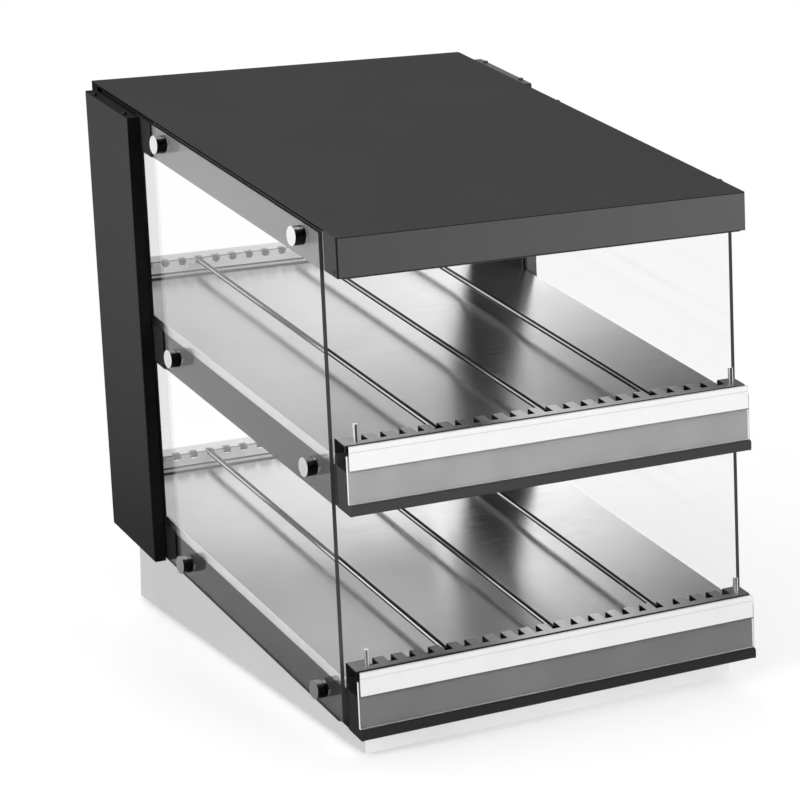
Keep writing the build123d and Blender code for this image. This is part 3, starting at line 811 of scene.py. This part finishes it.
def dome(bm, centre, side):
    """Low round head on a face that looks along X."""
    x, y, z = centre
    rings = []
    for ring in range(DOME_RINGS):
        rise = ring * pi / 2 / DOME_RINGS
        out = x + side * RIVET_HEIGHT * sin(rise)
        reach = RIVET_RADIUS * cos(rise)
        turns = [a * 2 * pi / DOME_SIDES for a in range(DOME_SIDES)]
        rings.append([bm.verts.new((out, y + reach * cos(a), z + reach * sin(a))) for a in turns])
    crown = bm.verts.new((x + side * RIVET_HEIGHT, y, z))
    for a in range(DOME_SIDES):
        b = (a + 1) % DOME_SIDES
        for low, high in zip(rings, rings[1:]):
            bm.faces.new((low[a], low[b], high[b], high[a]))
        bm.faces.new((rings[-1][a], rings[-1][b], crown))


def hood_rivets():
    """The small rivet that closes the folded corner at each end of the hood's front."""
    y = SHIFT_Y + RIVET_S * cos(SLOPE) + RIVET_W * sin(LEAN)
    z = BASE_Z + RIVET_S * sin(SLOPE) + RIVET_W * cos(LEAN)
    mesh = bpy.data.meshes.new("hood_rivets")
    bm = bmesh.new()
    for side in (-1, 1):
        dome(bm, (side * HOOD_HALF_WIDTH, y, z), side)
    bmesh.ops.recalc_face_normals(bm, faces=bm.faces)
    bm.to_mesh(mesh)
    bm.free()
    for polygon in mesh.polygons:
        polygon.use_smooth = True
    mesh.materials.append(coated("rivet_black", 0.01, 0.45, 0.3))
    obj = put("hood_rivets", mesh)
    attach(obj, "cabinet")


hood_rivets()


# Camera, stage and light

def photo_camera():
    """The camera that was fitted to the photograph."""
    lens = bpy.data.cameras.new("camera")
    lens.lens = CAMERA_LENS
    lens.sensor_width = CAMERA_SENSOR
    lens.clip_start, lens.clip_end = CAMERA_CLIP
    camera = put("camera", lens, CAMERA_PLACE)
    camera.rotation_euler = (radians(90 - CAMERA_DIP), 0, radians(-CAMERA_TURN))
    bpy.context.scene.camera = camera


def ray_kinds(tree):
    """Two 0..1 values: 1 for rays that look (from the camera, off gloss or through glass) and not
    for the light itself, and 1 for mirror rays. Rays that pass through rough glass count as glossy
    too, so a mirror ray is a glossy one that doesn't pass through."""
    rays = tree.nodes.new("ShaderNodeLightPath").outputs
    through = rays["Is Transmission Ray"]
    looking = most(tree, rays["Is Camera Ray"], rays["Is Glossy Ray"], through)
    return looking, calc(tree, "GREATER_THAN", rays["Is Glossy Ray"], through)


def floor_material():
    """Pale matt table top, lifted for rays that look, clear at its edge, and as painted shade
    darker at its left in mirrors.
    """
    mat, tree, shader = new_material("floor")
    looking, mirrored = ray_kinds(tree)
    coord = tree.nodes.new("ShaderNodeTexCoord")
    split = tree.nodes.new("ShaderNodeSeparateXYZ")
    tree.links.new(coord.outputs["Object"], split.inputs["Vector"])
    # Painted shade: mirror rays see the floor's left part darker and not lifted
    at_left = before(tree, split.outputs["X"], FLOOR_MIRRORED_X)
    left = calc(tree, "MULTIPLY", mirrored, at_left)
    lift = calc(tree, "MULTIPLY", looking, spread(tree, left, FLOOR_LIFT, 0.0, 0, 1))
    feed(tree, shader,
         colour=blend_colour(tree, left, grey(FLOOR_TONE), grey(FLOOR_MIRRORED_SHADE)),
         roughness=0.9,
         specular=0.0,
         glow_colour=grey(1.0),
         glow=lift)
    reach = tree.nodes.new("ShaderNodeVectorMath")
    reach.operation = "LENGTH"
    tree.links.new(coord.outputs["Object"], reach.inputs[0])
    gone = past(tree, reach.outputs["Value"], (FLOOR_FADE, FLOOR_RADIUS))
    clear = tree.nodes.new("ShaderNodeBsdfTransparent")
    mix = tree.nodes.new("ShaderNodeMixShader")
    tree.links.new(gone, mix.inputs["Fac"])
    tree.links.new(shader.outputs["BSDF"], mix.inputs[1])
    tree.links.new(clear.outputs["BSDF"], mix.inputs[2])
    out = next(n for n in tree.nodes if n.type == "OUTPUT_MATERIAL")
    tree.links.new(mix.outputs["Shader"], out.inputs["Surface"])
    return mat


def round_floor():
    """The table top, a thin disc just under the case's feet."""
    mesh = bpy.data.meshes.new("floor")
    turns = [a * 2 * pi / FLOOR_SIDES for a in range(FLOOR_SIDES)]
    ring = [(FLOOR_RADIUS * cos(a), FLOOR_RADIUS * sin(a), 0) for a in turns]
    mesh.from_pydata(ring, [], [tuple(range(FLOOR_SIDES))])
    mesh.materials.append(floor_material())
    obj = put("floor", mesh, (0, 0, FLOOR_Z))


def area_light(name, place, width, height, power):
    """A soft box that looks at the case and that no gloss shows."""
    data = bpy.data.lights.new(name, "AREA")
    data.shape = "RECTANGLE"
    data.size = width
    data.size_y = height
    data.energy = power
    obj = put(name, data, place)
    aim = Vector(LIGHT_TARGET) - Vector(place)
    obj.rotation_euler = aim.to_track_quat("-Z", "Y").to_euler()
    obj.visible_glossy = False


def studio_world():
    """White backdrop all round, a soft even light, and in mirrors a darker room at the front."""
    world = bpy.data.worlds.new("studio")
    bpy.context.scene.world = world
    world.use_nodes = True
    tree = world.node_tree
    tree.nodes.clear()
    out = tree.nodes.new("ShaderNodeOutputWorld")
    lit = tree.nodes.new("ShaderNodeBackground")
    lit.inputs["Color"].default_value = (1, 1, 1, 1)
    lit.inputs["Strength"].default_value = AMBIENT_STRENGTH
    white = tree.nodes.new("ShaderNodeBackground")
    white.inputs["Color"].default_value = (1, 1, 1, 1)
    looking, mirrored = ray_kinds(tree)
    room = spread(tree, object_axes(tree, "Generated")["Y"], ROOM_TONE, 1.0, *ROOM_REACH)
    strength = tree.nodes.new("ShaderNodeMix")
    tree.links.new(mirrored, strength.inputs["Factor"])
    strength.inputs["A"].default_value = 1.0
    tree.links.new(room, strength.inputs["B"])
    tree.links.new(strength.outputs["Result"], white.inputs["Strength"])
    mix = tree.nodes.new("ShaderNodeMixShader")
    tree.links.new(looking, mix.inputs["Fac"])
    tree.links.new(lit.outputs[0], mix.inputs[1])
    tree.links.new(white.outputs[0], mix.inputs[2])
    tree.links.new(mix.outputs[0], out.inputs["Surface"])


def soft_card():
    """A white card behind the case that fades at its top right; only reflections show it."""
    mat, tree, shader = new_material("card")
    axes = object_axes(tree)
    x, z = axes["X"], axes["Z"]
    corner = calc(tree, "ADD", x, calc(tree, "MULTIPLY", z, CARD_CORNER_RISE))
    upper = calc(tree, "MINIMUM", spread(tree, corner, *CARD_CORNER_FADE),
                 spread(tree, x, *CARD_LEFT_FADE))
    low_right = calc(tree, "MULTIPLY", spread(tree, z, *CARD_LOW_RIGHT),
                     past(tree, x, CARD_LOW_RIGHT_X))
    low = most(tree, spread(tree, z, *CARD_LOW_LEFT), low_right)
    feed(tree, shader,
         colour=grey(0),
         specular=0.0,
         glow_colour=grey(1.0),
         glow=calc(tree, "MULTIPLY", upper, calc(tree, "ADD", low, 1.0)))
    mesh = bpy.data.meshes.new("card")
    (left, right), (bottom, top) = CARD_X, CARD_Z
    corners = [(left, 0, bottom), (right, 0, bottom), (right, 0, top), (left, 0, top)]
    mesh.from_pydata(corners, [], [(0, 1, 2, 3)])
    mesh.materials.append(mat)
    obj = put("card", mesh, (0, CARD_Y, 0))
    obj.visible_camera = False
    obj.visible_diffuse = False
    obj.visible_shadow = False


photo_camera()
round_floor()
for light in AREA_LIGHTS:
    area_light(*light)
studio_world()
soft_card()
bpy.context.scene.view_settings.view_transform = "Standard"
